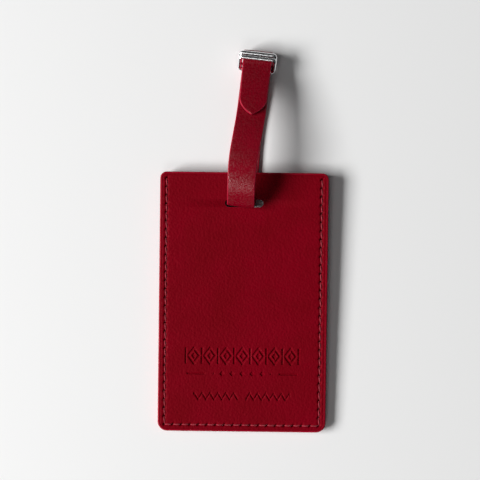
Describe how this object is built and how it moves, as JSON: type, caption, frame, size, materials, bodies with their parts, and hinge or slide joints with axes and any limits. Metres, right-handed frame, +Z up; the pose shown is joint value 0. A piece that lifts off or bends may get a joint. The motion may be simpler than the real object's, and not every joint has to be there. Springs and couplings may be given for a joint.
{
  "type": "luggage tag",
  "caption": "Stitched leather luggage tag with an address-card pocket and a looped leather strap held by wire slider rings.",
  "frame": {"origin": "middle of the object's box in X and Y, on the surface that it lies on", "axes": "+Y along the tag from its sewn end towards the strap, +X across the tag, +Z up out of the tag's front"},
  "size_m": [0.07, 0.1594, 0.0176],
  "materials": {
    "tag_leather": "smooth, semi-matt, painted edges",
    "strap_leather": "fine grain, semi-matt, painted edges",
    "spacer_leather": "plain split leather, edges painted with the panels",
    "clear_film": "clear flexible film",
    "card": "uncoated card",
    "thread": "twisted, waxed",
    "ring_metal": "polished"
  },
  "bodies": {
    "tag": {"front_panel": "tag_leather", "pocket_spacer": "spacer_leather", "back_panel": "tag_leather", "window_film": "clear_film", "seam_needle_thread": "thread", "seam_bobbin_thread": "thread"},
    "card": {"address_card": "card"},
    "strap": {"strap": "strap_leather", "strap_end_stitches": "thread"},
    "front_ring": {"ring_front": "ring_metal"},
    "rear_ring": {"ring_rear": "ring_metal"}
  },
  "joints": [
    {"name": "strap_swivel", "type": "hinge", "parent": "tag", "child": "strap", "pos_m": [-0.0011, 0.01552, 0.00438], "axis": [0, 0, 1], "range_deg": [-0.6, 11.8]},
    {"name": "front_ring_tilt", "type": "hinge", "parent": "strap", "child": "front_ring", "pos_m": [0.00432, 0.07078, 0.00479], "axis": [0.9952, -0.0976, 0], "range_deg": [0, 55]},
    {"name": "rear_ring_tilt", "type": "hinge", "parent": "strap", "child": "rear_ring", "pos_m": [0.00451, 0.07275, 0.00415], "axis": [0.9952, -0.0976, 0], "range_deg": [0, 25]},
    {"name": "card_slide", "type": "slide", "parent": "tag", "child": "card", "axis": [0, 0.9997, 0.025], "range_m": [0, 0.0025]}
  ],
  "couplings": [
    {"joint": "rear_ring_tilt", "follows": "front_ring_tilt", "ratio": 0.45}
  ]
}
